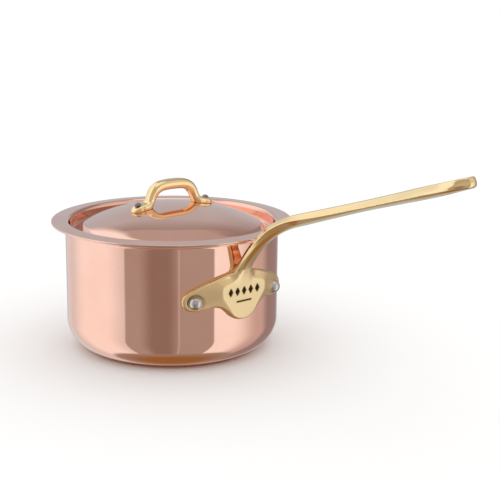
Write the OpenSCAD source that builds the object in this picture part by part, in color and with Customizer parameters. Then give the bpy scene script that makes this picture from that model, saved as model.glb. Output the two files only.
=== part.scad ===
// Copper saucepan with a lift-off lid, a cast long handle and riveted fittings.
// Frame: origin at the centre of the base's underside, +X under the long handle, +Z up, millimetres.

/* [Pan] */
// Outside radius of the straight wall
pan_r = 81; // [79:0.5:83]
// Height of the pan to the top of its pouring lip
pan_h = 96.4; // [94:0.2:99]
// Outside radius of the corner between wall and base
corner_r = 22.6; // [18:0.2:26]
// Radius of the outer edge of the pouring lip
lip_r = 88.6; // [87.5:0.1:89.5]
// Thickness of the copper
copper_t = 1.3; // [1:0.1:1.4]
// Thickness of the stainless lining bonded to the copper
lining_t = 0.2; // [0.2:0.05:0.3]

/* [Lid] */
// Radius of the outer edge of the lid's flange
flange_r = 91.4; // [90:0.1:92]
// Thickness of the lid's copper
lid_copper_t = 1; // [0.8:0.1:1.1]
// Gap between the pouring lip and the lid resting over it
lid_gap = 0.2; // [0.1:0.05:0.3]
// Height of the dome's crown above the flange's top face
dome_rise = 11.8; // [10:0.2:13]
// Radius of the groove's upright wall, on the lid's top side
groove_r = 77.8; // [77:0.1:78]

/* [Long handle] */
// Distance from the pan's axis to the tip of the handle
handle_reach = 285; // [275:1:292]
// Slope of the straight part of the handle
handle_slope = 18; // [17:0.5:19]
// Thickness of the plate that is riveted to the wall
plate_t = 3; // [2.6:0.1:3.4]
// Distance from the pan's axis to the flat panel in the middle of the plate
panel_x = 85.4; // [84.8:0.1:86.4]
// Half of the flat panel's width
panel_half_w = 18.5; // [16:0.5:20]
// Radius of the hole that the pan is hung by
hang_hole_r = 4.5; // [4:0.1:5]

/* [Rivets] */
// Angle of each handle rivet from the handle's own plane
rivet_angle = 26; // [25:0.5:28]
// Height of the handle rivets above the table
rivet_z = 54; // [53:0.5:56]
// Head radius of a handle rivet
rivet_head_r = 5.1; // [4.8:0.1:5.4]
// Shank radius of a handle rivet
rivet_shank_r = 2.5; // [2:0.1:3]
// Head radius of a lid rivet
lid_rivet_head_r = 2.8; // [2.6:0.1:3.2]
// Shank radius of a lid rivet
lid_rivet_shank_r = 1.5; // [1.2:0.1:1.8]

/* [Lid handle] */
// Angle between the lid's handle and the long handle, seen from above
lid_handle_angle = 86; // [80:1:90]
// Distance of each lid rivet from the axis
lid_rivet_reach = 29.7; // [28.5:0.1:30.5]
// Thickness of the handle's feet under the rivet heads
foot_t = 4.2; // [3.8:0.1:4.4]

/* [Hidden] */
$fn = 96;

copper = [0.85, 0.55, 0.42];
steel = [0.8, 0.8, 0.8];
brass = [0.85, 0.7, 0.42];

// Pan: the lip's bend, measured on the copper's outer side
sheet_t = copper_t + lining_t;
inner_r = pan_r - sheet_t;
lip_bend_r = 3.5;
lip_centre = [pan_r + lip_bend_r, pan_h - sheet_t - lip_bend_r];

// Lid: a spherical dome, a shoulder, a groove that drops inside the pan, and a flat flange
lid_t = lid_copper_t + lining_t;
flange_z = pan_h + lid_gap + lid_t;
dome_foot_r = 67;
dome_foot_drop = 14.2;
dome_r = (dome_foot_r ^ 2 + dome_foot_drop ^ 2) / (2 * dome_foot_drop);
dome_top = flange_z + dome_rise;
dome_centre = [0, dome_top - dome_r];
dome_foot_angle = acos(dome_foot_r / dome_r);
shoulder_r = 4;
shoulder_centre = dome_centre + (dome_r - shoulder_r) * [cos(dome_foot_angle), sin(dome_foot_angle)];
shoulder_end_angle = 40;
groove_bend_r = 3;
groove_x = groove_r - groove_bend_r;
groove_start_angle = 180 + shoulder_end_angle;
groove_start_x = groove_x + groove_bend_r * cos(groove_start_angle);
shoulder_end = shoulder_centre + shoulder_r * [cos(shoulder_end_angle), sin(shoulder_end_angle)];
ramp_drop = (groove_start_x - shoulder_end.x) / tan(shoulder_end_angle);
groove_z = shoulder_end.y - ramp_drop - groove_bend_r * sin(groove_start_angle);
flange_bend_r = 3.4;
flange_centre = [groove_r + flange_bend_r, flange_z - flange_bend_r];

// A bent sheet is a chain of arcs: [centre, radius on the reference side, start, end, sense].
// The sense is +1 where the far side of the sheet has the larger radius, and -1 where it is smaller.
pan_arcs = [
    [[pan_r - corner_r, corner_r], corner_r, -90, 0, -1],
    [lip_centre, lip_bend_r, 180, 90, 1]
];
lid_arcs = [
    [dome_centre, dome_r, 90, dome_foot_angle, -1],
    [shoulder_centre, shoulder_r, dome_foot_angle, shoulder_end_angle, -1],
    [[groove_x, groove_z], groove_bend_r, groove_start_angle, 360, 1],
    [flange_centre, flange_bend_r, 180, 90, -1]
];

// Long handle: the centreline is an arc that leaves the plate, then a straight bar
bend_r = 100;
bend_end = [140, 119.9];
bend_centre = bend_end + bend_r * [sin(handle_slope), -cos(handle_slope)];
stem_start_angle = 155;
plate_r = pan_r + plate_t;
wing_r = 9.3;
wing_y = 37.4;
wing_z = 56.2;
wing_top_angle = 75;
shoulder_y = 9;
shoulder_z = 73;
lobe_half_w = 24;
lobe_z = 37.2;
waist_z = 48.2;
hang_hole_x = handle_reach - 19;
section_points = 28;

// Heads of the rivets
rivet_head_h = 4.9;
spot_face_gap = 0.6;
rivet_tail_r = 5;
rivet_tail_h = 1.8;
lid_rivet_head_h = 2;
lid_rivet_tail_r = 3.2;
lid_rivet_tail_h = 1;
rivet_tilt = asin(lid_rivet_reach / dome_r);
spot_face_r = lid_rivet_head_r + spot_face_gap;
cut_h = 200;

// Points of one arc of a bent sheet, at a depth d below the reference side
function arc_points(arc, d, steps) = [
    for (i = [0:steps])
    let (a = arc[2] + (arc[3] - arc[2]) * i / steps)
    arc[0] + (arc[1] + arc[4] * d) * [cos(a), sin(a)]
];

// One side of a bent sheet, from the axis to its outer edge
function sheet_side(arcs, axis_z, edge_r, edge_z, d, steps = 12) = concat(
    [[0, axis_z]],
    [for (arc = arcs) each arc_points(arc, d, steps)],
    [[edge_r, edge_z]]
);

function reversed(list) = [for (i = [len(list) - 1:-1:0]) list[i]];

// One layer of the pan's wall between two depths from its outside
module pan_layer(d0, d1) {
    rotate_extrude()
        polygon(concat(
            sheet_side(pan_arcs, d0, lip_r, pan_h - sheet_t + d0, d0),
            reversed(sheet_side(pan_arcs, d1, lip_r, pan_h - sheet_t + d1, d1))));
}

// One layer of the lid between two depths from its top side
module lid_layer(d0, d1) {
    rotate_extrude()
        polygon(concat(
            sheet_side(lid_arcs, dome_top - d0, flange_r, flange_z - d0, d0),
            reversed(sheet_side(lid_arcs, dome_top - d1, flange_r, flange_z - d1, d1))));
}

// Puts its child on the axis of a handle rivet, with the child's +Z pointing away from the pan
module at_handle_rivet(side) {
    rotate([0, 0, side * rivet_angle])
        translate([0, 0, rivet_z])
            rotate([0, 90, 0])
                children();
}

// Puts its child on the axis of a lid rivet, with the dome's centre at the child's origin
module at_lid_rivet(side) {
    rotate([0, 0, lid_handle_angle])
        translate([0, 0, dome_centre.y])
            rotate([0, side * rivet_tilt, 0])
                children();
}

module handle_rivet_holes() {
    for (side = [-1, 1])
        at_handle_rivet(side)
            cylinder(r = rivet_shank_r, h = plate_r + 5);
}

module lid_rivet_holes() {
    for (side = [-1, 1])
        at_lid_rivet(side)
            cylinder(r = lid_rivet_shank_r, h = dome_r + 20);
}

// A domed rivet head that stands on z = 0
module domed_head(r, h) {
    ball_r = (r ^ 2 + h ^ 2) / (2 * h);
    intersection() {
        translate([0, 0, h - ball_r])
            sphere(r = ball_r);
        cylinder(r = r + 1, h = h + 1);
    }
}

// Superellipse: a rounded section between an ellipse and a rectangle
function soft(v, e) = sign(v) * abs(v) ^ (2 / e);

// Ring of a swept bar. A station is [x, z, half width, half thickness, exponent].
function ring(s, tilt) = [
    for (i = [0:section_points - 1])
    let (a = 360 * i / section_points, up = s[3] * soft(sin(a), s[4]))
    [s[0] - up * sin(tilt), s[2] * soft(cos(a), s[4]), s[1] + up * cos(tilt)]
];

// Smooth curve through stations, with so many steps between each two
function curve_at(p, i, t) =
    let (a = p[max(i - 1, 0)], b = p[i], c = p[i + 1], d = p[min(i + 2, len(p) - 1)])
    0.5 * (2 * b + (c - a) * t + (2 * a - 5 * b + 4 * c - d) * t ^ 2 + (3 * b - a - 3 * c + d) * t ^ 3);
function smooth(p, steps) = concat(
    [for (i = [0:len(p) - 2], k = [0:steps - 1]) curve_at(p, i, k / steps)],
    [p[len(p) - 1]]
);

function tilt_at(p, i) =
    let (a = p[max(i - 1, 0)], b = p[min(i + 1, len(p) - 1)])
    atan2(b[1] - a[1], b[0] - a[0]);

// A bar swept along stations in the XZ plane
module swept_bar(stations) {
    n = section_points;
    last = len(stations) - 1;
    points = [for (i = [0:last]) each ring(stations[i], tilt_at(stations, i))];
    sides = [for (i = [0:last - 1], j = [0:n - 1])
        [i * n + j, (i + 1) * n + j, (i + 1) * n + (j + 1) % n, i * n + (j + 1) % n]];
    start_cap = [[for (j = [0:n - 1]) j]];
    end_cap = [[for (j = [n - 1:-1:0]) last * n + j]];
    polyhedron(points = points, faces = concat(sides, start_cap, end_cap));
}

// A point of the handle's centreline: an angle on the bend, or an x on the straight bar
function bend_point(a) = bend_centre + bend_r * [cos(a), sin(a)];
function bar_point(x) = [x, bend_end.y + (x - bend_end.x) * tan(handle_slope)];
function station(p, half_w, half_t, e) = [p.x, p.y, half_w, half_t, e];

// Stem and bar of the long handle: narrow where it leaves the plate, slim in the middle,
// wider and thicker at the end, which is rounded
handle_stations = smooth([
    station(bend_point(stem_start_angle), 8, 3, 3),
    station(bend_point(149), 5.8, 3.4, 3),
    station(bend_point(141), 5.2, 3.7, 3),
    station(bend_point(132), 5.7, 3.9, 3),
    station(bend_point(121), 6.6, 4.1, 2.8),
    station(bar_point(140), 7, 4.1, 2.6),
    station(bar_point(165), 7, 3.7, 2.5),
    station(bar_point(200), 7.4, 3.3, 2.5),
    station(bar_point(228), 8.8, 3.5, 2.6),
    station(bar_point(handle_reach - 31), 10.8, 4, 3),
    station(bar_point(handle_reach - 19), 11.6, 4.1, 3),
    station(bar_point(handle_reach - 8), 9.6, 3.8, 2.8),
    station(bar_point(handle_reach - 2.5), 6, 3.1, 2.5),
    station(bar_point(handle_reach), 2, 1.6, 2.2)
], 4);

// Right half of the plate's outline in the YZ plane, from the stem down to the lobe's tip
half_outline = concat(
    [[0, shoulder_z + 4], [4, shoulder_z + 4], [shoulder_y, shoulder_z]],
    [for (a = [wing_top_angle:-15:-90]) [wing_y + wing_r * cos(a), wing_z + wing_r * sin(a)]],
    [for (i = [0:10])
        let (y = lobe_half_w * (1 - i / 10))
        [y, lobe_z + (waist_z - lobe_z) * (1 - cos(180 * y / lobe_half_w)) / 2]]
);

// Front of the plate: a flat panel in the middle, and a flat flank on each side out to the rivet,
// with a spot face round each rivet head
module plate_front() {
    flank_end = plate_r * [cos(rivet_angle), sin(rivet_angle)];
    difference() {
        linear_extrude(pan_h)
            polygon([
                [0, 0],
                [flank_end.x, -flank_end.y],
                [panel_x, -panel_half_w],
                [panel_x, panel_half_w],
                flank_end
            ]);
        for (side = [-1, 1])
            at_handle_rivet(side)
                cylinder(r = rivet_head_r + spot_face_gap, h = cut_h);
    }
}

// The plate on the wall: two wings for the rivets and a rounded lobe below the stem
module plate() {
    intersection() {
        union() {
            cylinder(r = plate_r, h = pan_h);
            plate_front();
        }
        translate([pan_r / 2, 0, 0])
            rotate([90, 0, 90])
                linear_extrude(pan_r)
                    polygon(concat(half_outline, [for (p = reversed(half_outline)) [-p.x, p.y]]));
    }
}

module hanging_hole() {
    centre = bar_point(hang_hole_x);
    translate([centre.x, 0, centre.y])
        rotate([0, -handle_slope, 0])
            cylinder(r = hang_hole_r, h = 30, center = true);
}

module pan_shell() {
    color(copper)
        difference() {
            pan_layer(0, copper_t);
            handle_rivet_holes();
        }
}

module pan_lining() {
    color(steel)
        difference() {
            pan_layer(copper_t, sheet_t);
            handle_rivet_holes();
        }
}

module handle() {
    color(brass)
        difference() {
            union() {
                plate();
                swept_bar(handle_stations);
            }
            cylinder(r = pan_r, h = cut_h);
            handle_rivet_holes();
            hanging_hole();
        }
}

// Domed head on the plate, shank through plate and wall, flat tail inside the pan
module handle_rivet(side) {
    color(steel)
        union() {
            difference() {
                at_handle_rivet(side)
                    translate([0, 0, plate_r - 0.3])
                        domed_head(rivet_head_r + 0.15, rivet_head_h + 0.3);
                cylinder(r = plate_r, h = cut_h);
            }
            at_handle_rivet(side)
                translate([0, 0, inner_r - 0.6])
                    cylinder(r = rivet_shank_r, h = plate_r - inner_r + 1.2);
            intersection() {
                at_handle_rivet(side)
                    translate([0, 0, inner_r - rivet_tail_h])
                        cylinder(r = rivet_tail_r, h = 2 * rivet_tail_h);
                cylinder(r = inner_r, h = cut_h);
            }
        }
}

module lid_shell() {
    color(copper)
        difference() {
            lid_layer(0, lid_copper_t);
            lid_rivet_holes();
        }
}

module lid_lining() {
    color(steel)
        difference() {
            lid_layer(lid_copper_t, lid_t);
            lid_rivet_holes();
        }
}

// Heights of the lid handle's centreline above the dome's crown
foot_sag = lid_rivet_reach ^ 2 / (2 * dome_r);
foot_z = dome_top - foot_sag + foot_t / 2;
lid_handle_half = [
    [35.6, foot_z - 1.4, 2.4, 1.4, 2.4],
    [34, foot_z - 1, 5, 2.3, 2.6],
    [lid_rivet_reach, foot_z - 0.1, 6.3, 2.6, 2.8],
    [24, foot_z + 1, 5.8, 2.8, 2.8],
    [20.4, foot_z + 4.6, 4.6, 2.9, 2.8],
    [18.8, foot_z + 9, 4.1, 2.9, 2.8],
    [16, foot_z + 13.2, 4.1, 2.9, 2.8],
    [11, foot_z + 15.7, 4.2, 3.1, 2.8],
    [4, foot_z + 16.5, 4.3, 3.2, 2.8]
];
lid_handle_stations = smooth(concat(
    [for (s = lid_handle_half) [-s[0], s[1], s[2], s[3], s[4]]],
    reversed(lid_handle_half)
), 3);

// Arched bar with two feet that sit on the dome
module lid_handle() {
    color(brass)
        difference() {
            rotate([0, 0, lid_handle_angle])
                swept_bar(lid_handle_stations);
            translate([0, 0, dome_centre.y])
                sphere(r = dome_r, $fn = 360);
            lid_rivet_holes();
            for (side = [-1, 1])
                at_lid_rivet(side)
                    translate([0, 0, dome_r + foot_t])
                        cylinder(r = spot_face_r, h = 4);
        }
}

// Domed head on the foot, shank through foot and lid, flat tail under the dome
module lid_rivet(side) {
    color(steel)
        at_lid_rivet(side)
            union() {
                translate([0, 0, dome_r + foot_t])
                    domed_head(lid_rivet_head_r, lid_rivet_head_h);
                translate([0, 0, dome_r - lid_t - 0.2])
                    cylinder(r = lid_rivet_shank_r, h = lid_t + foot_t + 0.6);
                translate([0, 0, dome_r - lid_t - lid_rivet_tail_h])
                    cylinder(r = lid_rivet_tail_r, h = lid_rivet_tail_h);
            }
}

pan_shell();
pan_lining();
handle();
handle_rivet(1);  // handle_rivet_left
handle_rivet(-1);  // handle_rivet_right
lid_shell();
lid_lining();
lid_handle();
lid_rivet(1);  // lid_rivet_left
lid_rivet(-1);  // lid_rivet_right
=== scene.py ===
"""Looks of the copper saucepan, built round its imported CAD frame.

Lengths are in millimetres until a mesh is made. The origin is the centre of the base's underside,
+X runs out under the long handle and +Z is up. Both castings are signed distance fields that are
meshed here, so that their fillets and rounded edges are real geometry.
"""
import math

import bpy
import numpy as np
from mathutils import Matrix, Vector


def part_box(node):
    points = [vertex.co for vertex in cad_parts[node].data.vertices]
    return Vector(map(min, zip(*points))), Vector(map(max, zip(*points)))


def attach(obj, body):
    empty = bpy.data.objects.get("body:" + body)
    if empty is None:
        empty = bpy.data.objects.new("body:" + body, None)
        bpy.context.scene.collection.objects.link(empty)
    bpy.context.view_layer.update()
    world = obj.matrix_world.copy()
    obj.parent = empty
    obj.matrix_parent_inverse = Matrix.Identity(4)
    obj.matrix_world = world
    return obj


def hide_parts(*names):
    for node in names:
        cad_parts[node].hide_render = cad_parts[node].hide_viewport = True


MM = 0.001

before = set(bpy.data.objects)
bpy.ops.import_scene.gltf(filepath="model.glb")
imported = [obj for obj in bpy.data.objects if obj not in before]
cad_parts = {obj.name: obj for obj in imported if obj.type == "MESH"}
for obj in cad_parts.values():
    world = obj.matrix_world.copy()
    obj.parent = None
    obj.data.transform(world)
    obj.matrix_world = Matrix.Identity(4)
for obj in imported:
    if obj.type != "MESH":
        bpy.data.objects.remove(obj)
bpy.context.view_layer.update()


def node_box(node):
    """Lowest and highest corner of a CAD node, in millimetres."""
    low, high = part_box(node)
    return np.array(low) / MM, np.array(high) / MM


# ---------------------------------------------------------------- dimensions

# Read from the frame
LIP_R = node_box("pan_shell")[1][1]
PAN_H = node_box("pan_lining")[1][2]
FLANGE_R = node_box("lid_shell")[1][1]
DOME_TOP = node_box("lid_shell")[1][2]
HANDLE_REACH = node_box("handle")[1][0]

# The same values as in the CAD source, which can't be read here
PAN_R = 81.0
CORNER_R = 22.6
COPPER_T = 1.3
LINING_T = 0.2
SHEET_T = COPPER_T + LINING_T
LIP_BEND_R = 3.5
LID_COPPER_T = 1.0
LID_T = LID_COPPER_T + LINING_T
DOME_RISE = 11.8
FLANGE_Z = DOME_TOP - DOME_RISE
DOME_FOOT_R = 67.0
DOME_FOOT_DROP = 14.2
DOME_R = (DOME_FOOT_R ** 2 + DOME_FOOT_DROP ** 2) / (2 * DOME_FOOT_DROP)
DOME_Z = DOME_TOP - DOME_R
SHOULDER_R = 4.0
SHOULDER_END = 40.0
GROOVE_R = 77.8
GROOVE_BEND_R = 3.0
FLANGE_BEND_R = 3.4
PLATE_T = 3.0
PANEL_X = 85.4
RIVET_ANGLE = 26.0
RIVET_Z = 54.0
RIVET_HEAD_R = 5.1
RIVET_HEAD_H = 4.9
RIVET_SHANK_R = 2.5
RIVET_TAIL_R = 5.0
RIVET_TAIL_H = 1.8
LID_HANDLE_ANGLE = 86.0
LID_RIVET_REACH = 29.7
LID_RIVET_HEAD_R = 2.8
LID_RIVET_HEAD_H = 2.0
LID_RIVET_SHANK_R = 1.5
LID_RIVET_TAIL_R = 3.2
LID_RIVET_TAIL_H = 1.0
FOOT_T = 4.2
HANDLE_SLOPE = 18.0
BEND_R = 100.0
BEND_END = np.array([140.0, 119.9])
HOLE_X = HANDLE_REACH - 19
HOLE_R = 4.5

# Only in this model
FLANGE_LIFT = 0.7   # how much higher the flange is beside the groove than at its edge
FLANGE_TILT = 4.2   # how steeply it falls at the top of its bend, in degrees
EDGE_R = 0.28       # rounding of a cut sheet edge
LINING_LEAN = 0.1   # how far the lining's cut edge leans
TAIL_EDGE = 0.4     # bevel round a rivet's tail
RIM_SUPPORT = 0.15  # from the rim of a rivet's head to the last point under it
ARC_STEP = 6.0      # greatest number of degrees between the points of an arc
ARC_CHORD = 1.3     # greatest distance between them
TURN_STEPS = 240    # steps round a turned piece
PATINA = "patina"   # name of the mesh attribute that holds each point's darkness


# ---------------------------------------------------------------- meshes

def add_mesh(name, points, faces, body, material, node, darkness=None):
    """A smooth-shaded piece from points in millimetres, which stands for one CAD node.

    Darkness is how dark each point's patina is, from 0 to 1.
    """
    mesh = bpy.data.meshes.new(name)
    mesh.from_pydata((np.asarray(points) * MM).tolist(), [], faces)
    if darkness is not None:
        mesh.attributes.new(PATINA, "FLOAT", "POINT").data.foreach_set("value", darkness)
    mesh.validate()
    mesh.polygons.foreach_set("use_smooth", [True] * len(mesh.polygons))
    mesh.update()
    mesh.materials.append(material)
    piece = bpy.data.objects.new(name, mesh)
    bpy.context.scene.collection.objects.link(piece)
    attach(piece, body)
    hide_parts(node)
    return piece


def arc(centre, radius, start, end):
    """Points of an arc from one angle to another, in degrees."""
    turn = abs(end - start)
    steps = math.ceil(max(2, turn / ARC_STEP, math.radians(turn) * radius / ARC_CHORD))
    angles = np.radians(np.linspace(start, end, steps + 1))
    return [(centre[0] + radius * math.cos(a), centre[1] + radius * math.sin(a)) for a in angles]


def supported(profile, gap=0.35, longest=9.0):
    """The profile with extra points along its straight stretches.

    The first and the last of them are a gap away from the ends, and the others about longest apart.
    """
    result = [profile[0]]
    for p, q in zip(profile, profile[1:]):
        p, q = np.array(p), np.array(q)
        length = np.linalg.norm(q - p)
        if length < 1e-6:
            continue
        if length > 1.5 * ARC_CHORD:
            inner = np.linspace(gap, length - gap, 2 + int(length / longest))
            result += [tuple(p + (q - p) * d / length) for d in inner]
        result.append(tuple(q))
    return result


def lathe(profile, steps=TURN_STEPS):
    """Points and faces of the solid that a profile sweeps, from the axis round to the axis again."""
    profile = supported(profile)
    first, last = profile[0], profile[-1]
    rings = profile[1:-1]
    angles = np.arange(steps) * 2 * math.pi / steps
    points = [(0.0, 0.0, first[1])]
    for r, z in rings:
        points += [(r * math.cos(a), r * math.sin(a), z) for a in angles]
    points.append((0.0, 0.0, last[1]))
    end = len(points) - 1
    faces = []
    for j in range(steps):
        k = (j + 1) % steps
        faces.append((0, 1 + k, 1 + j))
        faces.append((end, end - steps + j, end - steps + k))
        for i in range(len(rings) - 1):
            a = 1 + i * steps
            faces.append((a + j, a + k, a + steps + k, a + steps + j))
    return np.array(points), faces


def placed(points, matrix):
    """Points moved by a 4 by 4 matrix."""
    m = np.array(matrix)
    return np.asarray(points) @ m[:3, :3].T + m[:3, 3]


# ---------------------------------------------------------------- turned pieces

def pan_side(depth):
    """Outside of the pan at a depth below its surface, from the axis up to the lip's edge."""
    lip = (PAN_R + LIP_BEND_R, PAN_H - SHEET_T - LIP_BEND_R)
    return ([(0.0, depth)] + arc((PAN_R - CORNER_R, CORNER_R), CORNER_R - depth, -90, 0)
            + arc(lip, LIP_BEND_R + depth, 180, 90))


def lid_side(depth):
    """Top of the lid at a depth below its surface, from the axis out to the flange."""
    foot = math.degrees(math.acos(DOME_FOOT_R / DOME_R))
    direction = np.array([math.cos(math.radians(foot)), math.sin(math.radians(foot))])
    shoulder = np.array([0.0, DOME_Z]) + (DOME_R - SHOULDER_R) * direction
    ramp = math.radians(SHOULDER_END)
    shoulder_end = shoulder + SHOULDER_R * np.array([math.cos(ramp), math.sin(ramp)])
    groove_x = GROOVE_R - GROOVE_BEND_R
    groove_start_x = groove_x - GROOVE_BEND_R * math.cos(ramp)
    ramp_drop = (groove_start_x - shoulder_end[0]) / math.tan(ramp)
    groove_z = shoulder_end[1] - ramp_drop + GROOVE_BEND_R * math.sin(ramp)
    return (arc((0.0, DOME_Z), DOME_R - depth, 90, foot)
            + arc(shoulder, SHOULDER_R - depth, foot, SHOULDER_END)
            + arc((groove_x, groove_z), GROOVE_BEND_R + depth, 180 + SHOULDER_END, 360)
            + arc((GROOVE_R + FLANGE_BEND_R, FLANGE_Z + FLANGE_LIFT - FLANGE_BEND_R), FLANGE_BEND_R - depth,
                  180, 90 - FLANGE_TILT))


def sheet_edge(r, low, high, round_low, round_high):
    """Cut edge of a sheet at radius r, from its lower to its upper face, with rounded corners."""
    start = arc((r - EDGE_R, low + EDGE_R), EDGE_R, -90, 0) if round_low else [(r, low)]
    end = arc((r - EDGE_R, high - EDGE_R), EDGE_R, 0, 90) if round_high else [(r, high)]
    return start + end


def pan_copper_profile():
    base = PAN_H - SHEET_T
    return (pan_side(0) + sheet_edge(LIP_R, base, base + COPPER_T, True, False)
            + pan_side(COPPER_T)[::-1])


def pan_steel_profile():
    low = PAN_H - LINING_T
    return pan_side(COPPER_T) + [(LIP_R, low), (LIP_R - LINING_LEAN, PAN_H)] + pan_side(SHEET_T)[::-1]


def lid_copper_profile():
    low = FLANGE_Z - LID_COPPER_T
    return (lid_side(LID_COPPER_T) + sheet_edge(FLANGE_R, low, FLANGE_Z, False, True)
            + lid_side(0)[::-1])


def lid_steel_profile():
    low = FLANGE_Z - LID_T
    return (lid_side(LID_T) + [(FLANGE_R - LINING_LEAN, low), (FLANGE_R, low + LINING_T)]
            + lid_side(LID_COPPER_T)[::-1])


def rivet_profile(head_r, head_h, shank_r, shank_low, tail_r, tail_h):
    """A rivet on its own axis: tail, shank and a domed head whose underside is at height 0."""
    ball = (head_r ** 2 + head_h ** 2) / (2 * head_h)
    rim = math.degrees(math.asin((ball - head_h) / ball))
    dome = arc((0.0, head_h - ball), ball, rim, 90)
    tail_low = shank_low - tail_h
    tail = [(0.0, tail_low), (tail_r - TAIL_EDGE, tail_low), (tail_r, tail_low + TAIL_EDGE)]
    shank = [(tail_r, shank_low), (shank_r, shank_low), (shank_r, 0.0), (head_r - RIM_SUPPORT, 0.0)]
    return tail + shank + dome


# ---------------------------------------------------------------- castings as distance fields

def smooth_union(a, b, k):
    """Union of two distance fields with a fillet about k wide."""
    h = np.clip(0.5 + 0.5 * (b - a) / k, 0, 1)
    return b + (a - b) * h - k * h * (1 - h)


def round_meet(a, b, r):
    """Intersection of two distance fields, with the edge between them rounded to radius r."""
    u, v = np.maximum(a + r, 0), np.maximum(b + r, 0)
    return np.minimum(np.maximum(a, b), -r) + np.hypot(u, v)


def spline(points, steps):
    """Smooth curve through the rows of a table, with so many steps between each two."""
    p = np.asarray(points, float)
    p = np.vstack([2 * p[0] - p[1], p, 2 * p[-1] - p[-2]])
    t = np.arange(steps)[:, None] / steps
    parts = []
    for a, b, c, d in zip(p, p[1:], p[2:], p[3:]):
        parts.append(0.5 * (2 * b + (c - a) * t + (2 * a - 5 * b + 4 * c - d) * t ** 2
                            + (3 * b - a - 3 * c + d) * t ** 3))
    return np.vstack(parts + [p[-2:-1]])


def outline_distance(x, y, outline):
    """Signed distance to a closed outline, negative inside."""
    nearest = np.full(x.shape, 1e9)
    inside = np.zeros(x.shape, bool)
    for (ax, ay), (bx, by) in zip(outline, np.roll(outline, -1, 0)):
        ex, ey = bx - ax, by - ay
        t = np.clip(((x - ax) * ex + (y - ay) * ey) / (ex * ex + ey * ey + 1e-12), 0, 1)
        nearest = np.minimum(nearest, (x - ax - t * ex) ** 2 + (y - ay - t * ey) ** 2)
        crossing = ((ay > y) != (by > y)) & (x < ex * (y - ay) / (ey if ey else 1e-12) + ax)
        inside ^= crossing
    return np.where(inside, -1, 1) * np.sqrt(nearest)


def mirrored(half):
    """Closed outline from its right half, whose first and last points are on the axis."""
    half = np.asarray(half, float)
    return np.vstack([half, half[-2:0:-1] * [-1, 1]])


COARSE = 4              # fine steps in one coarse step of a field's grid
NEAR = 1.6              # coarse steps from the surface within which the fine grid is filled
PROBES = 0.02 * np.array([(1, 1, 1), (1, -1, -1), (-1, 1, -1), (-1, -1, 1)])
LEAST_SLOPE = 0.05      # least square of a field's slope that a point is moved by
CELL_CORNERS = [(i, j, k) for i in (0, 1) for j in (0, 1) for k in (0, 1)]
SETTLE_ROUNDS = 3       # rounds that bring new points onto the surface
SMOOTH_ROUNDS = 4       # rounds of smoothing
PULL = 0.6              # how far one of them pulls a point to the middle of its neighbours


def sampled_inside(field, low, high, step):
    """Whether each cell of a fine grid is inside a distance field."""
    cells = np.ceil((high - low) / (step * COARSE)).astype(int) + 1
    grid = np.stack(np.meshgrid(*[np.arange(n) for n in cells], indexing="ij"), -1)
    centres = low + (grid.reshape(-1, 3) + 0.5) * step * COARSE
    values = field(centres).reshape(cells)
    band = np.abs(values) < step * COARSE * NEAR
    for axis in range(3):
        values = values.repeat(COARSE, axis)
        band = band.repeat(COARSE, axis)
    values[band] = field(low + (np.argwhere(band) + 0.5) * step)
    return values < 0


def surface_quads(inside, index):
    """A quad round each grid edge that crosses the surface, as four point numbers, facing out."""
    quads = []
    for axis in range(3):
        b, c = (axis + 1) % 3, (axis + 2) % 3
        cross = np.argwhere(np.diff(inside, axis=axis))
        for side in (b, c):
            cross = cross[(cross[:, side] > 0) & (cross[:, side] < inside.shape[side] - 1)]
        outward = inside[tuple(cross.T)]
        around = []
        for db, dc in [(-1, -1), (0, -1), (0, 0), (-1, 0)]:
            cell = cross.copy()
            cell[:, b] += db
            cell[:, c] += dc
            around.append(index[tuple(cell.T)])
        quad = np.stack(around, 1)
        quad[~outward] = quad[~outward][:, ::-1]
        quads.append(quad)
    return np.vstack(quads)


def onto_level(field, points, step, rounds):
    """Points moved along a distance field's slope onto its zero level."""
    for _ in range(rounds):
        samples = np.stack([field(points + probe) for probe in PROBES])
        slope = samples.T @ PROBES / (4 * PROBES[0, 0] ** 2)
        size = np.maximum((slope ** 2).sum(1), LEAST_SLOPE)
        points = points - slope * np.clip(samples.mean(0) / size, -step, step)[:, None]
    return points


def relaxed(points, quads):
    """Points pulled towards the middle of those that they share an edge with."""
    total = np.zeros_like(points)
    degree = np.zeros(len(points))
    for a, b in [(0, 1), (1, 2), (2, 3), (3, 0)]:
        for near_end, far_end in ((quads[:, a], quads[:, b]), (quads[:, b], quads[:, a])):
            np.add.at(total, near_end, points[far_end])
            np.add.at(degree, near_end, 1)
    return (1 - PULL) * points + PULL * total / degree[:, None]


def mesh_field(field, low, high, step):
    """Quad mesh of a distance field's zero level, with its points moved onto that level."""
    low, high = np.asarray(low, float), np.asarray(high, float)
    inside = sampled_inside(field, low, high, step)
    nx, ny, nz = np.array(inside.shape) - 1
    count = sum(inside[i:nx + i, j:ny + j, k:nz + k].astype(np.int8) for i, j, k in CELL_CORNERS)
    mixed = (count > 0) & (count < len(CELL_CORNERS))
    index = np.full(mixed.shape, -1)
    index[mixed] = np.arange(mixed.sum())
    points = low + (np.argwhere(mixed) + 1.0) * step
    quads = surface_quads(inside, index)

    points = onto_level(field, points, step, SETTLE_ROUNDS)
    for _ in range(SMOOTH_ROUNDS):
        points = onto_level(field, relaxed(points, quads), step, 2)
    return points, quads.tolist()


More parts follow.
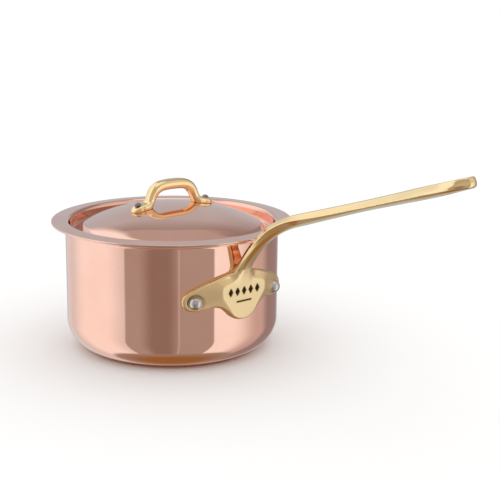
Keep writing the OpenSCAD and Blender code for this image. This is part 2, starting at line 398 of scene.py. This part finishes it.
# Long handle: station columns are length along the bar from the end of the bend, half width, height
# above and depth below the centreline, level of the side ridge, and the angle that the upper and the
# lower bevel make with the handle's flat faces
BAR_STATIONS = spline([
    (-84, 9.5, 3.3, 3.3, -0.2, 60, 60),
    (-72, 7.0, 3.4, 3.4, -0.2, 57, 57),
    (-58, 6.4, 3.5, 3.5, 0.1, 56, 56),
    (-42, 6.4, 3.8, 3.8, 0.5, 56, 54),
    (-23, 6.8, 4.1, 4.3, 0.8, 55, 48),
    (0, 7.0, 4.2, 4.5, 0.5, 53, 45),
    (26, 7.0, 3.8, 4.0, -0.4, 50, 44),
    (63, 7.3, 3.4, 3.5, -1.0, 50, 44),
    (92, 8.8, 3.4, 3.9, -1.1, 50, 46),
    (116, 10.9, 3.6, 4.3, -1.2, 52, 50),
    (131, 11.6, 3.5, 4.0, -1.0, 60, 60),
    (143, 11.6, 3.4, 3.6, -0.6, 72, 72),
    (150, 11.6, 3.3, 3.4, -0.2, 80, 80),
], 8)
BAR_START = BAR_STATIONS[0, 0] + 4  # where the stem starts, at the wall
BAR_END = (HANDLE_REACH - BEND_END[0]) / math.cos(math.radians(HANDLE_SLOPE))
TIP_SIDE_R = 20.0
TIP_NOSE_R = 7.0
CROWN = 0.35        # how far the flat faces fall towards their sides
FACE_EDGE_R = 0.8   # rounding between the upper face and its bevel
UNDER_EDGE_R = 1.8  # rounding between the lower face and its bevel
RIDGE_R = 0.25      # rounding of the ridge


def bar_coordinates(x, z):
    """Length along the handle's centreline and height above it."""
    slope = math.radians(HANDLE_SLOPE)
    c, s = math.cos(slope), math.sin(slope)
    centre = BEND_END + BEND_R * np.array([s, -c])
    dx, dz = x - BEND_END[0], z - BEND_END[1]
    along = dx * c + dz * s
    above = -dx * s + dz * c
    turned = np.arctan2(z - centre[1], x - centre[0]) - (math.pi / 2 + slope)
    bent = along < 0
    radius = np.hypot(x - centre[0], z - centre[1])
    return np.where(bent, -turned * BEND_R, along), np.where(bent, radius - BEND_R, above)


def bar_field(p):
    """The stem and the bar: two flat faces, two bevels that meet in a ridge, and an ogive tip."""
    along, above = bar_coordinates(p[:, 0], p[:, 2])
    across = np.abs(p[:, 1])
    table = BAR_STATIONS
    columns = [np.interp(along, table[:, 0], table[:, i]) for i in range(1, 7)]
    half_w, top, low, ridge, upper, lower = columns
    upper, lower = np.radians(upper), np.radians(lower)

    tip_w = table[-1, 1]
    fall = TIP_SIDE_R - TIP_NOSE_R
    rise = TIP_SIDE_R - tip_w
    run = math.sqrt(fall ** 2 - rise ** 2)
    tip_start = BAR_END - TIP_NOSE_R - run
    ahead = along - tip_start
    side = np.hypot(ahead, across + rise) - TIP_SIDE_R
    nose = np.hypot(along - (BAR_END - TIP_NOSE_R), across) - TIP_NOSE_R
    tip = np.where(run * (across + rise) < rise * ahead, nose, side)
    plan = np.where(ahead > 0, tip, across - half_w)

    level = above - ridge
    fall_off = CROWN * (across / half_w) ** 2
    upper_bevel = plan * np.sin(upper) + level * np.cos(upper)
    lower_bevel = plan * np.sin(lower) - level * np.cos(lower)
    upper_half = round_meet(upper_bevel, above - top + fall_off, FACE_EDGE_R)
    lower_half = round_meet(lower_bevel, -above - low + fall_off, UNDER_EDGE_R)
    return np.maximum(round_meet(upper_half, lower_half, RIDGE_R), BAR_START - along)


# Right half of the plate's outline, as arc length round the wall and height
PLATE_OUTLINE = mirrored(spline([
    (0, 76), (9, 73.8), (20, 71), (31, 67.5), (40.5, 63.2), (46.2, 59.6), (48.2, 55.6), (47.0, 50.8),
    (43.2, 47.6), (37, 46.9), (31, 48.0), (24.8, 49.0), (19, 47.8), (14.2, 44.4), (10.2, 40.6),
    (5.5, 38.0), (0, 37.2),
], 5))
# Right half of the flat panel's outline, in the plane across the handle
PANEL_OUTLINE = mirrored(spline([
    (0, 84), (4, 82), (5.6, 75), (6.6, 69.5), (9.6, 66.6), (16, 64.9), (18.9, 63), (19, 57.5),
    (16.6, 53.6), (12.6, 48.1), (8.6, 42.6), (4.2, 39.6), (0, 38.8),
], 4))
PLATE_END_T = 0.9       # thickness at the wings' ends
WING_THINS_AT = 40.0    # arc length round the wall where the wings start to thin
WING_THINNING = 10.0    # arc length over which they do
WING_FILLET = 1.2       # between the wings and the flanks
STEM_FILLET = 4.0       # between the plate and the stem
FLANK_SLOPE = 0.5
PANEL_STRETCH = 1.4     # how much steeper the bevels above and below the panel are than its flanks
CREASE_R = 0.6          # rounding between the panel and its flanks
PLATE_EDGE_R = 2.0
BACK_EDGE_R = 0.4       # rounding of the edge against the wall
SPOT_FACE_R = RIVET_HEAD_R + 0.9
SPOT_FACE_EDGE_R = 1.0
HOLE_EDGE_R = 1.2
HOLE_REGION = 30.0      # length before the hole from which it plays a part
PLATE_REGION = (104.0, 92.0)    # radius and height past which the plate plays no part

# Plain engraved ornament on the panel: a row of lozenges above a line
LOZENGES_Y = (-12.4, -6.2, 0.0, 6.2, 12.4)
LOZENGE_Z = 59.2
LOZENGE_HALF = (2.1, 3.3)
UNDERLINE_Z = 51.6
UNDERLINE_HALF = (7.0, 0.55)
ENGRAVING_D = 0.55
ENGRAVING_EDGE_R = 0.15
PANEL_HALF_W = 17.0     # half width of the part of the panel that can be engraved
PATINA_MARGIN = 0.3     # how far past the ornament's outline the patina may reach
PATINA_START = 0.12     # depth below the panel where the patina starts
PATINA_FADE = 0.35      # further depth where it is full


def engraving_distance(y, z):
    """Signed distance to the ornament in the panel's plane, negative inside."""
    half_y, half_z = LOZENGE_HALF
    nearest = np.maximum(np.abs(y) - UNDERLINE_HALF[0], np.abs(z - UNDERLINE_Z) - UNDERLINE_HALF[1])
    for middle in LOZENGES_Y:
        lozenge = np.abs(y - middle) / half_y + np.abs(z - LOZENGE_Z) / half_z - 1
        nearest = np.minimum(nearest, lozenge * half_y * half_z / math.hypot(half_y, half_z))
    return nearest


def patina(points):
    """How dark each point of the long handle is: 1 at the bottom of the engraving and 0 off it."""
    x, y, z = points.T
    engraved = (engraving_distance(y, z) < PATINA_MARGIN) & (x > PANEL_X - 2) & (np.abs(y) < PANEL_HALF_W)
    return np.where(engraved, np.clip((PANEL_X - PATINA_START - x) / PATINA_FADE, 0, 1), 0)


def plate_field(p):
    """The riveted plate: wings on the wall, rising by flat flanks to a flat panel."""
    x, y, z = p.T
    around = np.arctan2(y, x) * (PAN_R + PLATE_T)
    outline = outline_distance(around, z, PLATE_OUTLINE)
    stretch = np.array([1, PANEL_STRETCH])
    away = np.maximum(outline_distance(y, z * PANEL_STRETCH, PANEL_OUTLINE * stretch), 0)
    away = np.hypot(away, CREASE_R) - CREASE_R
    front = (x - PANEL_X + FLANK_SLOPE * away) / math.hypot(1, FLANK_SLOPE)
    engraving = round_meet(engraving_distance(y, z), PANEL_X - ENGRAVING_D - x, ENGRAVING_EDGE_R)
    front = np.maximum(front, -engraving)
    turn = math.radians(RIVET_ANGLE)
    off_axis = np.abs(y) * math.cos(turn) - x * math.sin(turn)
    from_rivet = np.hypot(off_axis, z - RIVET_Z)
    front = round_meet(front, SPOT_FACE_R - from_rivet, SPOT_FACE_EDGE_R)
    fade = np.clip((np.abs(around) - WING_THINS_AT) / WING_THINNING, 0, 1)
    shell = np.hypot(x, y) - PAN_R - PLATE_T + (PLATE_T - PLATE_END_T) * fade * fade
    front = smooth_union(front, shell, WING_FILLET)
    return round_meet(outline, front, PLATE_EDGE_R)


def handle_field(p):
    """The whole long handle."""
    p = np.asarray(p, float)
    radius = np.hypot(p[:, 0], p[:, 1])
    body = bar_field(p)
    close = (radius < PLATE_REGION[0]) & (p[:, 2] < PLATE_REGION[1])
    body[close] = smooth_union(body[close], plate_field(p[close]), STEM_FILLET)
    body = round_meet(body, PAN_R - radius, BACK_EDGE_R)
    along = bar_coordinates(p[:, 0], p[:, 2])[0]
    hole_along = (HOLE_X - BEND_END[0]) / math.cos(math.radians(HANDLE_SLOPE))
    hole = HOLE_R - np.hypot(along - hole_along, p[:, 1])
    return np.where(along > hole_along - HOLE_REGION, round_meet(body, hole, HOLE_EDGE_R), body)


# Lid handle: station columns are distance from the axis, height above the foot's middle,
# half width, half thickness and exponent
ARCH_STATIONS = [
    (26.0, 0.2, 5.2, 2.2, 2.6),
    (22.4, 1.8, 4.8, 2.8, 2.7),
    (20.0, 5.0, 4.4, 3.2, 2.7),
    (18.1, 8.9, 4.4, 3.6, 2.6),
    (15.3, 12.4, 4.6, 3.9, 2.5),
    (10.8, 14.75, 4.7, 3.95, 2.5),
    (4.0, 15.6, 4.8, 4.0, 2.5),
]
FOOT_Z = DOME_TOP - LID_RIVET_REACH ** 2 / (2 * DOME_R) + FOOT_T / 2
FOOT_INNER = 24.0
FOOT_REACH = 35.8
FOOT_HALF_W = 5.6
FOOT_FALL = 0.28      # how fast the foot thins past its rivet
FOOT_TOP_R = 1.5      # rounding of the foot's upper edge
FOOT_EDGE_R = 0.7     # rounding where the foot meets the dome
FOOT_FILLET = 2.4     # between the foot and the arch
LEAST_STEEPNESS = 0.1   # least slope that the arch's field is divided by
LID_HANDLE_LOW = (-38, -8, DOME_TOP - 9)    # the region that is meshed
LID_HANDLE_HIGH = (38, 8, DOME_TOP + 21)


def lid_handle_field(p):
    """Arch with two feet on the dome, in a frame whose X runs along the handle."""
    p = np.asarray(p, float)
    x, across, z = np.abs(p[:, 0]), np.abs(p[:, 1]), p[:, 2]
    path = np.array(ARCH_STATIONS)
    path = spline(np.vstack([path, path[-1:] * [0, 1, 1, 1, 1]]), 7)
    best = np.full(x.shape, 1e9)
    sizes = np.zeros((3, len(x)))
    for a, b in zip(path, path[1:]):
        e = b[:2] - a[:2]
        t = np.clip(((x - a[0]) * e[0] + (z - FOOT_Z - a[1]) * e[1]) / (e @ e), 0, 1)
        gap = np.hypot(x - a[0] - t * e[0], z - FOOT_Z - a[1] - t * e[1])
        nearer = gap < best
        best = np.where(nearer, gap, best)
        for row in range(3):
            sizes[row] = np.where(nearer, a[2 + row] + t * (b[2 + row] - a[2 + row]), sizes[row])
    half_w, half_t, power = sizes
    u, v = across / half_w, best / half_t
    value = u ** power + v ** power
    size = np.maximum(value, 1e-9) ** (1 / power)
    slope = np.hypot((u / size) ** (power - 1) / half_w, (v / size) ** (power - 1) / half_t)
    arch = (size - 1) / np.maximum(slope, LEAST_STEEPNESS)

    height = np.sqrt(x ** 2 + across ** 2 + (z - DOME_Z) ** 2) - DOME_R
    centre = np.clip(x, FOOT_INNER, FOOT_REACH - FOOT_HALF_W)
    plan = np.hypot(x - centre, across) - FOOT_HALF_W
    top = height - (FOOT_T - FOOT_FALL * np.maximum(x - LID_RIVET_REACH, 0))
    foot = round_meet(plan, top, FOOT_TOP_R)
    body = smooth_union(arch, foot, FOOT_FILLET)
    return round_meet(body, -height, FOOT_EDGE_R)


# ---------------------------------------------------------------- materials

COPPER, COPPER_TARNISH = (0.93, 0.62, 0.52), (0.90, 0.56, 0.45)
BRASS, BRASS_TARNISH = (0.95, 0.755, 0.44), (0.90, 0.68, 0.36)
STEEL, STEEL_TARNISH = (0.74, 0.73, 0.71), (0.68, 0.67, 0.64)
RIVET_STEEL, RIVET_TARNISH = (0.66, 0.67, 0.70), (0.5, 0.5, 0.5)
DARK_STEEL, DARK_TARNISH = (0.30, 0.29, 0.27), (0.16, 0.15, 0.14)
PATINA_COLOUR = (0.07, 0.05, 0.025)
PATINA_ROUGHNESS = 0.4      # how much rougher the patina is
SATIN_LOW = 0.062           # below this height the casting is satin, in metres
SATIN_HIGH = 0.079          # above this height it is polished
SATIN_ROUGHNESS = 0.30      # how much rougher satin is
CLOUD_SCALE = 28.0          # slow changes of tone, per metre
SPECKLE_SCALE = 420.0       # fast changes of tone, per metre
RING_SCALE = 2600.0         # polishing lines round the axis, per metre
STREAK_SCALE = 1500.0       # polishing lines along X, per metre
RING_STRETCH = 0.0008       # metres of noise in a radian round the axis, so that lines are long
STREAK_STRETCH = (0.12, 1, 1)   # shortens X, so that lines along it are long
CLOUD_RANGE = (0.45, 0.95)      # from clean metal to tarnished
STREAK_RANGE = (0.3, 0.7)       # from the least roughness to the greatest


class Nodes:
    """Short calls that add nodes to a node tree and link them."""

    def __init__(self, tree):
        self.tree = tree

    def add(self, kind, **values):
        node = self.tree.nodes.new(kind)
        for name, value in values.items():
            setattr(node, name, value)
        return node

    def link(self, source, target):
        self.tree.links.new(source, target)

    def math(self, operation, *values):
        node = self.add("ShaderNodeMath", operation=operation)
        for socket, value in zip(node.inputs, values):
            if isinstance(value, (int, float)):
                socket.default_value = value
            else:
                self.link(value, socket)
        return node.outputs[0]

    def noise(self, vector, scale, detail=3.0, roughness=0.5):
        node = self.add("ShaderNodeTexNoise")
        node.inputs["Scale"].default_value = scale
        node.inputs["Detail"].default_value = detail
        node.inputs["Roughness"].default_value = roughness
        self.link(vector, node.inputs["Vector"])
        return node.outputs["Fac"]

    def spread(self, value, low, high, to_low, to_high, kind="LINEAR"):
        node = self.add("ShaderNodeMapRange", interpolation_type=kind)
        limits = {"From Min": low, "From Max": high, "To Min": to_low, "To Max": to_high}
        for name, number in limits.items():
            node.inputs[name].default_value = number
        self.link(value, node.inputs["Value"])
        return node.outputs["Result"]

    def mix(self, factor, below, over, label=""):
        """A colour laid over another colour, or over what another node gives."""
        node = self.add("ShaderNodeMix", data_type="RGBA", label=label)
        self.link(factor, node.inputs["Factor"])
        if isinstance(below, tuple):
            node.inputs["A"].default_value = (*below, 1)
        else:
            self.link(below, node.inputs["A"])
        node.inputs["B"].default_value = (*over, 1)
        return node.outputs["Result"]

    def bump(self, height, strength, distance, under=None):
        node = self.add("ShaderNodeBump")
        node.inputs["Strength"].default_value = strength
        node.inputs["Distance"].default_value = distance
        self.link(height, node.inputs["Height"])
        if under is not None:
            self.link(under, node.inputs["Normal"])
        return node.outputs["Normal"]


def polishing_lines(nodes, place, turned):
    """Noise in polishing lines, which run round the axis on a turned piece and along X elsewhere."""
    if not turned:
        stretch = nodes.add("ShaderNodeMapping")
        stretch.inputs["Scale"].default_value = STREAK_STRETCH
        nodes.link(place, stretch.inputs["Vector"])
        return nodes.noise(stretch.outputs[0], STREAK_SCALE, roughness=0.7)
    parts = nodes.add("ShaderNodeSeparateXYZ")
    nodes.link(place, parts.inputs[0])
    x, y, z = parts.outputs
    squares = nodes.math("ADD", nodes.math("MULTIPLY", x, x), nodes.math("MULTIPLY", y, y))
    turn = nodes.math("MULTIPLY", nodes.math("ARCTAN2", y, x), RING_STRETCH)
    rings = nodes.add("ShaderNodeCombineXYZ")
    for number, value in enumerate((nodes.math("SQRT", squares), z, turn)):
        nodes.link(value, rings.inputs[number])
    return nodes.noise(rings.outputs[0], RING_SCALE, roughness=0.7)


def metal(name, tone, tarnish, rough, lines, waves, turned=False, cast=False):
    """Polished metal: a slow change of tone, fine polishing lines and soft waves in the surface.

    Rough is the least and the greatest roughness, and lines and waves are heights in metres. Cast
    metal is less polished low down, on the riveted plate, and dark in its engraving.
    """
    material = bpy.data.materials.new(name)
    material.use_nodes = True
    shader = material.node_tree.nodes["Principled BSDF"]
    nodes = Nodes(material.node_tree)
    place = nodes.add("ShaderNodeTexCoord").outputs["Object"]
    slow = nodes.noise(place, CLOUD_SCALE, detail=2.0)
    fast = nodes.noise(place, SPECKLE_SCALE, detail=4.0, roughness=0.6)
    grain = polishing_lines(nodes, place, turned)

    mottle = 0.12 if cast else 0.35
    clouds = nodes.math("ADD", slow, nodes.math("MULTIPLY", fast, mottle))
    colour = nodes.mix(nodes.spread(clouds, *CLOUD_RANGE, 0.0, 1.0), tone, tarnish)
    fine = 0.85 if turned else 0.6
    streaks = nodes.math("ADD", nodes.math("MULTIPLY", grain, fine), nodes.math("MULTIPLY", fast, 1 - fine))
    roughness = nodes.spread(streaks, *STREAK_RANGE, *rough)
    if cast:
        height = nodes.add("ShaderNodeSeparateXYZ")
        nodes.link(place, height.inputs[0])
        satin = nodes.spread(height.outputs[2], SATIN_LOW, SATIN_HIGH, SATIN_ROUGHNESS, 0.0)
        engraved = nodes.add("ShaderNodeAttribute", attribute_name=PATINA).outputs["Fac"]
        colour = nodes.mix(engraved, colour, PATINA_COLOUR)
        for rougher in (satin, nodes.math("MULTIPLY", engraved, PATINA_ROUGHNESS)):
            roughness = nodes.math("ADD", roughness, rougher)
    nodes.link(colour, shader.inputs["Base Color"])
    shader.inputs["Metallic"].default_value = 1.0
    nodes.link(roughness, shader.inputs["Roughness"])
    wave = nodes.bump(slow, 1.0, waves)
    nodes.link(nodes.bump(grain, 1.0, lines, wave), shader.inputs["Normal"])
    return material


copper = metal("polished_copper", COPPER, COPPER_TARNISH, rough=(0.035, 0.075), lines=2.0e-7,
               waves=2.0e-5, turned=True)
brass = metal("polished_cast_brass", BRASS, BRASS_TARNISH, rough=(0.07, 0.13), lines=6.0e-7,
              waves=6.0e-5, cast=True)
lining = metal("turned_stainless_lining", STEEL, STEEL_TARNISH, rough=(0.20, 0.30), lines=6.0e-7,
               waves=5.0e-6, turned=True)
rivet_steel = metal("polished_rivet_steel", RIVET_STEEL, RIVET_TARNISH, rough=(0.14, 0.24), lines=1.0e-6,
                    waves=1.0e-5)
dark_steel = metal("darkened_rivet_steel", DARK_STEEL, DARK_TARNISH, rough=(0.16, 0.3), lines=1.0e-6,
                   waves=1.0e-5)


# ---------------------------------------------------------------- pieces

FIELD_STEP = 0.5
HANDLE_MARGIN = 2.0     # space left round the long handle's box when it is meshed
HANDLE_RIVET = rivet_profile(RIVET_HEAD_R, RIVET_HEAD_H, RIVET_SHANK_R, -(PLATE_T + SHEET_T), RIVET_TAIL_R,
                             RIVET_TAIL_H)
LID_RIVET = rivet_profile(LID_RIVET_HEAD_R, LID_RIVET_HEAD_H, LID_RIVET_SHANK_R, -(FOOT_T + LID_T),
                          LID_RIVET_TAIL_R, LID_RIVET_TAIL_H)


def add_turned(name, profile, body, material, node):
    points, faces = lathe(profile)
    return add_mesh(name, points, faces, body, material, node)


def turn_about(axis, degrees):
    return Matrix.Rotation(math.radians(degrees), 4, axis)


def handle_rivet_place(side):
    """Where a rivet stands on the plate. Side is 1 on the left, towards +Y, and -1 on the right."""
    return (turn_about("Z", side * RIVET_ANGLE) @ Matrix.Translation((PAN_R + PLATE_T, 0, RIVET_Z))
            @ turn_about("Y", 90))


def lid_rivet_place(side):
    """Where a rivet stands on a foot of the lid's handle."""
    tilt = math.degrees(math.asin(LID_RIVET_REACH / DOME_R))
    return (turn_about("Z", LID_HANDLE_ANGLE) @ Matrix.Translation((0, 0, DOME_Z))
            @ turn_about("Y", side * tilt) @ Matrix.Translation((0, 0, DOME_R + FOOT_T)))


def add_rivets(family, profile, steps, place, body, material):
    for side, label in ((1, "left"), (-1, "right")):
        node = family + "_" + label
        points, faces = lathe(profile, steps)
        add_mesh(node + "_steel", placed(points, place(side)), faces, body, material, node)


add_turned("pan_copper_body", pan_copper_profile(), "pan", copper, "pan_shell")
add_turned("pan_steel_lining", pan_steel_profile(), "pan", lining, "pan_lining")
add_turned("lid_copper_body", lid_copper_profile(), "lid", copper, "lid_shell")
add_turned("lid_steel_lining", lid_steel_profile(), "lid", lining, "lid_lining")

low, high = node_box("handle")
points, faces = mesh_field(handle_field, low - HANDLE_MARGIN, high + HANDLE_MARGIN, FIELD_STEP)
add_mesh("long_handle_casting", points, faces, "pan", brass, "handle", patina(points))

points, faces = mesh_field(lid_handle_field, LID_HANDLE_LOW, LID_HANDLE_HIGH, FIELD_STEP)
points = placed(points, turn_about("Z", LID_HANDLE_ANGLE))
add_mesh("lid_handle_casting", points, faces, "lid", brass, "lid_handle")

add_rivets("handle_rivet", HANDLE_RIVET, 64, handle_rivet_place, "pan", rivet_steel)
add_rivets("lid_rivet", LID_RIVET, 48, lid_rivet_place, "lid", dark_steel)


# ---------------------------------------------------------------- camera

CAMERA_AT = (699.4, -528.9, 284.8)
CAMERA_AZIMUTH = 49.0
CAMERA_ELEVATION = math.degrees(0.237)
CAMERA_ROLL = math.degrees(0.012)
FOCAL_PX = 1169.8
FRAME_PX = 500
SENSOR_MM = 36.0

camera_data = bpy.data.cameras.new("camera")
camera_data.sensor_width = SENSOR_MM
camera_data.lens = FOCAL_PX / FRAME_PX * SENSOR_MM
camera_data.clip_start = 0.01
camera = bpy.data.objects.new("camera", camera_data)
bpy.context.scene.collection.objects.link(camera)
camera.matrix_world = (Matrix.Translation([v * MM for v in CAMERA_AT]) @ turn_about("Z", CAMERA_AZIMUTH)
                       @ turn_about("X", 90 - CAMERA_ELEVATION) @ turn_about("Z", CAMERA_ROLL))
bpy.context.scene.camera = camera


# ---------------------------------------------------------------- studio

# The surroundings that polished metal mirrors: azimuth and elevation ranges in degrees, the width of
# the soft edge along each, and the colour of the light that comes from there
ZONES = [
    ("left_softbox", (163, 272), (-68, 47), (1.5, 2.5), (0.77, 0.76, 0.76)),
    ("left_softbox_core", (200, 262), (-60, 50), (16, 8), (1.08, 1.06, 1.05)),
    ("left_softbox_top", (164.5, 262), (24, 60), (1.2, 4), (1.10, 1.08, 1.07)),
    ("right_softbox", (7, 82), (-68, 58), (1.5, 1.5), (0.62, 0.54, 0.51)),
    ("right_softbox_top", (-40, 70), (10, 58), (20, 8), (0.76, 0.70, 0.64)),
    ("right_softbox_core", (-20, 50), (-68, 14), (20, 6), (1.06, 1.06, 1.04)),
    ("dark_room", (-89, 8), (-90, 40), (1.0, 1.2), (0.45, 0.39, 0.35)),
    ("dark_room_middle", (-66, -34), (-90, 0), (9, 14), (0.30, 0.23, 0.20)),
    ("dark_room_upper", (-80, 2), (-6, 34), (6, 6), (0.56, 0.50, 0.43)),
    ("stand", (-31.4, -29.2), (-90, 30), (0.6, 0.6), (0.56, 0.49, 0.46)),
    ("right_gap", (82, 124), (-60, 46), (9, 3), (0.34, 0.28, 0.27)),
    ("overhead_softbox", (-180, 180), (66, 114), (1, 3), (1.10, 1.10, 1.08)),
    ("table_far", (-180, 180), (-124, -56), (1, 3), (0.38, 0.32, 0.27)),
    ("table_near", (-180, 180), (-114, -66), (1, 10), (0.33, 0.17, 0.06)),
]
# What lies behind the zones, from the horizon to overhead as 0 to 1: wall, ceiling's edge, ceiling
BACKDROP = [(0.42, (0.53, 0.56, 0.60)), (0.562, (0.38, 0.35, 0.34)), (0.567, (0.51, 0.455, 0.435))]
ARCH_AZIMUTH = 143.0    # the ceiling's edge is an arch, highest here, in degrees
ARCH_FALL = 0.023       # its fall to each side, in degrees over the square of the degrees away
ARCH_LOWEST = 14.0      # its greatest fall
DIFFUSE_WHITE = 1.25    # what lights a matt surface
CAMERA_WHITE = 1.0      # what the camera sees behind the pan
FLOOR_HALF = 40.0       # metres
# Painted shade: emitting discs that stand for the shaded, copper-lit gap under the pan, the inner one
# darker
GAP_SHADE_DISCS = [(68.5, (0.34, 0.13, 0.035)), (66.0, (0.13, 0.03, 0.008))]     # radii and colours
GAP_SHADE_RISE = 0.15        # height between one glowing disc and the next
GAP_SHADE_T = 0.1            # thickness of a disc


def zone_mask(nodes, azimuth, elevation, across, up, soft):
    """1 inside a range of azimuth and elevation, 0 outside, with a soft edge."""
    masks = []
    for angle, (start, end), edge in ((azimuth, across, soft[0]), (elevation, up, soft[1])):
        off = nodes.math("SUBTRACT", angle, (start + end) / 2)
        if angle is azimuth:
            off = nodes.math("WRAP", off, 180.0, -180.0)
        off = nodes.math("ABSOLUTE", off)
        half = (end - start) / 2
        masks.append(nodes.spread(off, half - edge, half + edge, 1, 0, "SMOOTHSTEP"))
    return nodes.math("MULTIPLY", *masks)


def add_world():
    """The studio round the pan, seen by the metal, and plain white behind it, seen by the camera."""
    world = bpy.data.worlds.new("studio")
    bpy.context.scene.world = world
    world.use_nodes = True
    nodes = Nodes(world.node_tree)
    background = world.node_tree.nodes["Background"]
    direction = nodes.add("ShaderNodeSeparateXYZ")
    nodes.link(nodes.add("ShaderNodeTexCoord").outputs["Generated"], direction.inputs[0])
    x, y, z = direction.outputs
    to_degrees = 180 / math.pi
    azimuth = nodes.math("MULTIPLY", nodes.math("ARCTAN2", y, x), to_degrees)
    elevation = nodes.math("MULTIPLY", nodes.math("ARCSINE", z), to_degrees)
    aside = nodes.math("WRAP", nodes.math("SUBTRACT", azimuth, ARCH_AZIMUTH), 180.0, -180.0)
    fall = nodes.math("MULTIPLY", nodes.math("MULTIPLY", aside, aside), ARCH_FALL)
    arched = nodes.math("ADD", elevation, nodes.math("MINIMUM", fall, ARCH_LOWEST))
    ramp = nodes.add("ShaderNodeValToRGB")
    nodes.link(nodes.math("DIVIDE", arched, 90.0), ramp.inputs[0])
    stops = ramp.color_ramp.elements
    for number, (position, tone) in enumerate(BACKDROP):
        stop = stops[number] if number < len(stops) else stops.new(position)
        stop.position, stop.color = position, (*tone, 1)
    colour = ramp.outputs[0]
    for name, across, up, soft, tone in ZONES:
        mask = zone_mask(nodes, azimuth, elevation, across, up, soft)
        colour = nodes.mix(mask, colour, tone, name)
    rays = nodes.add("ShaderNodeLightPath").outputs
    for ray, white in (("Is Diffuse Ray", DIFFUSE_WHITE), ("Is Camera Ray", CAMERA_WHITE)):
        colour = nodes.mix(rays[ray], colour, (white, white, white))
    nodes.link(colour, background.inputs["Color"])


def plain_material(name, values):
    """A material whose shader has constant values."""
    material = bpy.data.materials.new(name)
    material.use_nodes = True
    shader = material.node_tree.nodes["Principled BSDF"]
    for socket, value in values.items():
        shader.inputs[socket].default_value = value
    return material


def add_staged(name, points, faces, material, unseen_by):
    """A piece of the studio, from points in metres, that some kinds of ray don't see."""
    mesh = bpy.data.meshes.new(name)
    mesh.from_pydata(points, [], faces)
    mesh.materials.append(material)
    piece = bpy.data.objects.new(name, mesh)
    bpy.context.scene.collection.objects.link(piece)
    for ray in unseen_by:
        setattr(piece, "visible_" + ray, False)


def add_floor():
    s = FLOOR_HALF
    corners = [(-s, -s, 0), (s, -s, 0), (s, s, 0), (-s, s, 0)]
    pale = plain_material("pale_floor", {"Base Color": (0.9, 0.9, 0.9, 1), "Roughness": 0.9})
    add_staged("floor", corners, [(0, 1, 2, 3)], pale, ["glossy"])


def add_painted_gap_shade():
    """Painted contact shade and painted copper reflection of the warm gap under the pan's rounded corner:
    emitting discs, darker further in, which only the copper mirrors.
    """
    for number, (radius, colour) in enumerate(GAP_SHADE_DISCS, 1):
        low = GAP_SHADE_RISE * number
        high = low + GAP_SHADE_T
        points, faces = lathe([(0, low), (radius, low), (radius, high), (0, high)], 96)
        # each disc glows with a painted shade colour, seen only in the copper's mirror
        name = "painted_gap_shade_" + str(number)
        shade_disc = plain_material(name, {
            "Base Color": (0, 0, 0, 1),
            "Roughness": 1.0,
            "Emission Color": (*colour, 1),
            "Emission Strength": 1.0,
        })
        unseen_by = ["camera", "diffuse", "shadow", "transmission", "volume_scatter"]
        add_staged(name, (points * MM).tolist(), faces, shade_disc, unseen_by)


add_world()
add_floor()
add_painted_gap_shade()
bpy.context.scene.view_settings.view_transform = "Standard"

bpy.context.view_layer.update()
